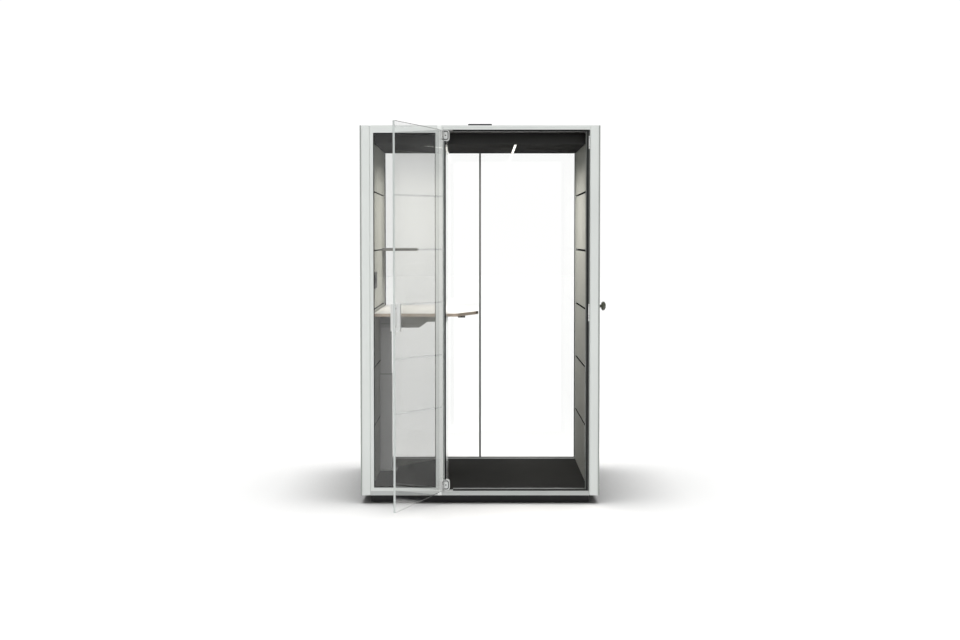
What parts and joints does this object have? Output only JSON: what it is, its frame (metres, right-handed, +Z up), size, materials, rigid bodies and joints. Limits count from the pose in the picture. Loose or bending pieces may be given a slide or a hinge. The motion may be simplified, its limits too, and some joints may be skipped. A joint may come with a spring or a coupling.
{
  "type": "office phone booth",
  "caption": "Free-standing glazed acoustic phone booth with a frameless door, sit-stand desk, shelf, ceiling lights and roof fan.",
  "frame": {"origin": "under the middle of the cabin, on the underside of the centre levelling foot, at ground level", "axes": "+X to the right as seen from the door side, +Y from the door to the back glass, +Z up"},
  "size_m": [1.464, 2.3871, 2.3075],
  "materials": {
    "feet": "black rubber pads on steel stems",
    "plinth": "matt near-black powder coat",
    "plywood": "raw plywood",
    "ceiling_board": "black film-faced plywood",
    "carpet": "dark low-pile carpet",
    "frame_paint": "satin pale grey powder coat",
    "panel_paint": "satin pale grey powder coat",
    "stop_paint": "dark grey powder coat",
    "dark_core": "black acoustic core",
    "felt": "warm grey wool felt",
    "dark_felt": "black acoustic felt",
    "glass": "clear laminated glass, faint grey tint",
    "clear_plastic": "clear flexible plastic",
    "rubber": "black rubber",
    "dark_trim": "dark joint profile",
    "aluminium": "anodised aluminium",
    "black_plastic": "matt black plastic",
    "button_plastic": "dark grey plastic",
    "black_metal": "matt black powder coat",
    "hinge_metal": "satin anodised aluminium",
    "steel": "plain steel",
    "knob_metal": "dark olive-grey powder coat",
    "column_paint": "dark grey powder coat",
    "arm_paint": "mid grey powder coat",
    "birch": "birch plywood with an oiled edge",
    "white_laminate": "white high-pressure laminate",
    "shelf_paint": "grey powder coat",
    "light_lens": "opal lens, lit"
  },
  "bodies": {
    "cabin": {"levelling_feet": "feet", "base_frame": "plinth", "floor_deck": "plywood", "floor_carpet": "carpet", "sill_profile": "frame_paint", "head_profile": "frame_paint", "mid_post": "frame_paint", "rear_rails": "frame_paint", "front_posts": "frame_paint", "rear_posts": "frame_paint", "wall_cores": "dark_core", "outer_panel_right": "panel_paint", "outer_panel_left": "panel_paint", "wall_tiles_right": "felt", "wall_tiles_left": "felt", "rear_glass_right": "glass", "rear_glass_left": "glass", "rear_joint_strip": "dark_trim", "sidelight_frame": "frame_paint", "sidelight_glass": "glass", "glazing_seals": "rubber", "clear_lip": "clear_plastic", "roof_deck": "ceiling_board", "roof_cover": "panel_paint", "ceiling_raft": "dark_felt", "light_profiles": "aluminium", "light_diffusers": "light_lens", "light_driver": "aluminium", "fan_housing": "black_plastic", "fan_cowl": "black_metal", "cable_gland": "black_plastic", "hinge_pins": "steel", "hinge_brackets": "hinge_metal", "door_stops": "stop_paint", "door_seals": "rubber", "door_catch": "hinge_metal", "coat_knob": "knob_metal", "lift_column_outer": "column_paint", "lift_spindle": "steel", "shelf": "shelf_paint", "shelf_support": "steel", "module_case": "black_plastic", "module_sockets": "button_plastic"},
    "door": {"door_glass": "glass", "hinge_blocks": "hinge_metal", "hinge_plates": "hinge_metal", "door_pulls": "hinge_metal", "pull_bolts": "steel"},
    "desk": {"lift_column_inner": "column_paint", "lift_motor": "steel", "desk_arm": "arm_paint", "desk_board": "birch", "desk_laminate": "white_laminate", "handset_case": "black_plastic", "bag_hook": "black_metal"},
    "fan_rotor_body": {"fan_rotor": "black_plastic"},
    "desk_up_button": {"handset_button_up": "button_plastic"},
    "desk_down_button": {"handset_button_down": "button_plastic"},
    "light_switch_body": {"light_switch": "button_plastic"},
    "fan_switch_body": {"fan_switch": "button_plastic"}
  },
  "joints": [
    {"name": "door_hinge", "type": "hinge", "parent": "cabin", "child": "door", "pos_m": [-0.2195, -0.774, 1.152], "axis": [0, 0, -1], "range_deg": [-106.7, 8.3]},
    {"name": "desk_lift", "type": "slide", "parent": "cabin", "child": "desk", "axis": [0, 0, 1], "range_m": [-0.3, 0.13]},
    {"name": "fan_spin", "type": "hinge", "parent": "cabin", "child": "fan_rotor_body", "pos_m": [0, -0.03, 2.24], "axis": [0, 0, 1], "continuous": true},
    {"name": "up_press", "type": "slide", "parent": "desk", "child": "desk_up_button", "axis": [0, 1, 0], "range_m": [0, 0.0015], "stiffness_N_per_m": 800},
    {"name": "down_press", "type": "slide", "parent": "desk", "child": "desk_down_button", "axis": [0, 1, 0], "range_m": [0, 0.0015], "stiffness_N_per_m": 800},
    {"name": "light_press", "type": "slide", "parent": "cabin", "child": "light_switch_body", "axis": [-1, 0, 0], "range_m": [0, 0.0015], "stiffness_N_per_m": 800},
    {"name": "fan_press", "type": "slide", "parent": "cabin", "child": "fan_switch_body", "axis": [-1, 0, 0], "range_m": [0, 0.0015], "stiffness_N_per_m": 800}
  ]
}
